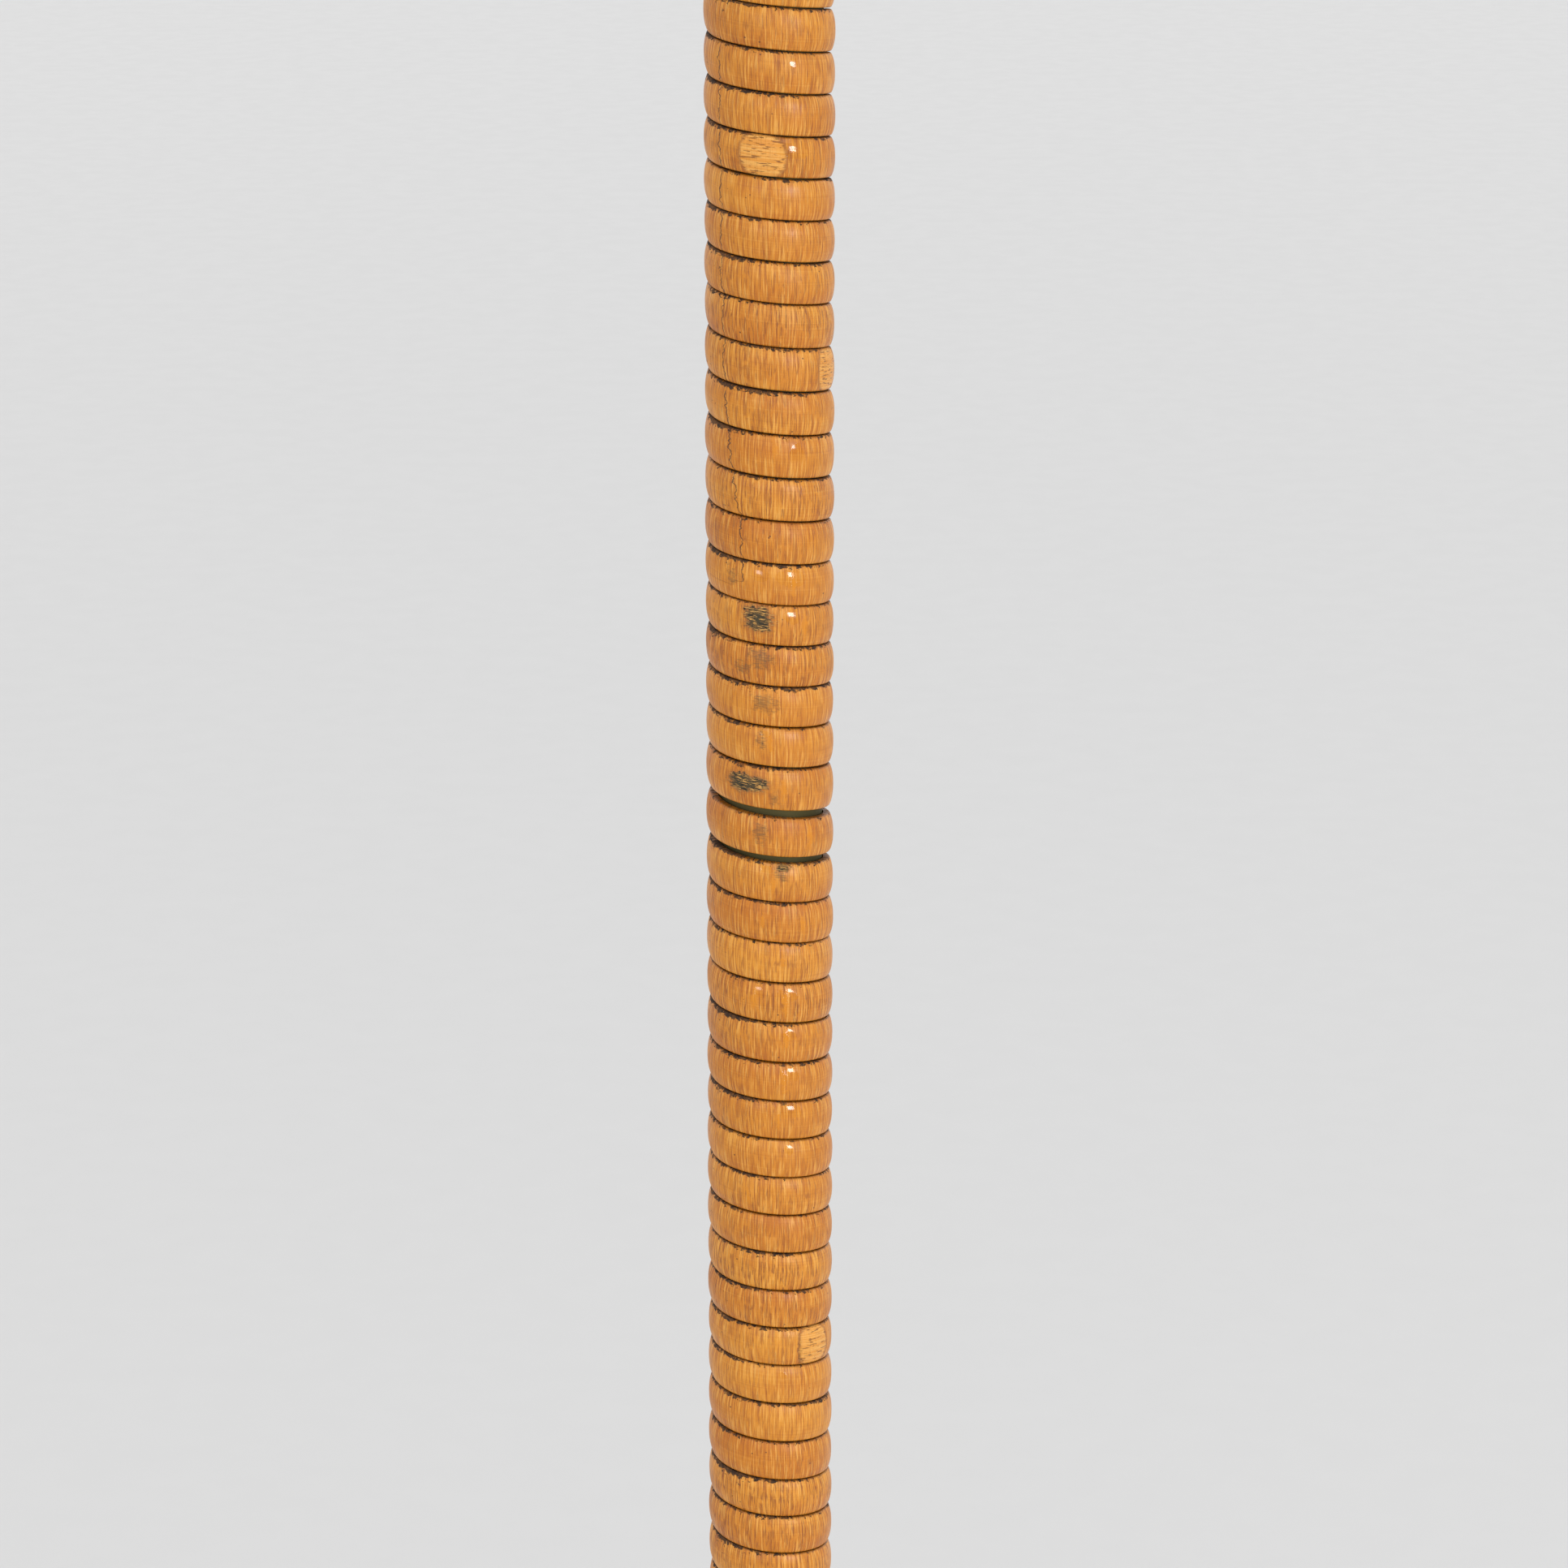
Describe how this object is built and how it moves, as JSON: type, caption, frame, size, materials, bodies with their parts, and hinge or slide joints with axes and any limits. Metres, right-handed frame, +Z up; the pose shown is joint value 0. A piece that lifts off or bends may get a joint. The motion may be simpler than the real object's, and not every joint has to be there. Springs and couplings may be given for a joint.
{
  "type": "floor lamp",
  "caption": "Floor lamp with a slim cane-wound brass stem on a round weighted base, a rotary-switch lampholder and a tapered fabric shade.",
  "frame": {"origin": "centre of the base's underside, on the floor", "axes": "+Z up along the stem, front towards -Y, mains inlet at the rear towards +Y"},
  "size_m": [0.4011, 0.401, 1.3801],
  "materials": {
    "polished_brass": "aged polished brass",
    "plain_brass": "turned brass",
    "felt": "pressed wool felt",
    "cast_iron": "sand-cast, painted black",
    "bakelite": "moulded phenolic",
    "steel": "zinc-plated",
    "rattan": "varnished cane",
    "porcelain": "glazed porcelain",
    "white_wire": "white enamel",
    "linen": "linen on stiff backing",
    "linen_tape": "folded linen tape",
    "black_glass": "moulded black glass",
    "bulb_metal": "thin drawn metal",
    "opal_glass": "opal white"
  },
  "bodies": {
    "stand": {"base_felt": "felt", "base_weight": "cast_iron", "base_cover": "polished_brass", "cable_gland": "bakelite", "base_collar": "polished_brass", "base_nipple": "plain_brass", "base_washer": "steel", "lock_washer": "steel", "base_nut": "plain_brass", "stem_tube": "polished_brass", "lower_bushing": "plain_brass", "upper_bushing": "plain_brass", "lower_ferrule": "polished_brass", "upper_ferrule": "polished_brass", "rattan_winding": "rattan", "head_cup": "polished_brass", "holder_nipple": "plain_brass", "holder_locknut": "plain_brass", "lampholder_cap": "polished_brass", "lampholder_shell": "polished_brass", "lampholder_insulator": "porcelain", "terminal_screws": "plain_brass", "screw_shell": "plain_brass", "centre_contact": "plain_brass"},
    "switch": {"switch_spindle": "steel", "switch_knob": "bakelite"},
    "lower_ring": {"shade_ring_lower": "polished_brass"},
    "upper_ring": {"shade_ring_upper": "polished_brass"},
    "shade": {"shade_fitter": "white_wire", "shade_frame": "white_wire", "shade_fabric": "linen", "shade_top_hoop": "white_wire", "shade_trim_bottom": "linen_tape", "shade_trim_top": "linen_tape"},
    "bulb": {"bulb_contact": "plain_brass", "bulb_insulator": "black_glass", "bulb_cap": "bulb_metal", "bulb_glass": "opal_glass"}
  },
  "joints": [
    {"name": "switch_turn", "type": "hinge", "parent": "stand", "child": "switch", "pos_m": [0.02, 0, 1.11665], "axis": [1, 0, 0], "continuous": true},
    {"name": "shade_turn", "type": "hinge", "parent": "stand", "child": "shade", "pos_m": [0, 0, 1.1327], "axis": [0, 0, 1], "continuous": true},
    {"name": "lower_ring_turn", "type": "hinge", "parent": "stand", "child": "lower_ring", "pos_m": [0, 0, 1.12765], "axis": [0, 0, 1], "continuous": true},
    {"name": "upper_ring_turn", "type": "hinge", "parent": "stand", "child": "upper_ring", "pos_m": [0, 0, 1.13375], "axis": [0, 0, 1], "continuous": true},
    {"name": "bulb_turn", "type": "hinge", "parent": "stand", "child": "bulb", "pos_m": [0, 0, 1.12875], "axis": [0, 0, 1], "continuous": true}
  ]
}
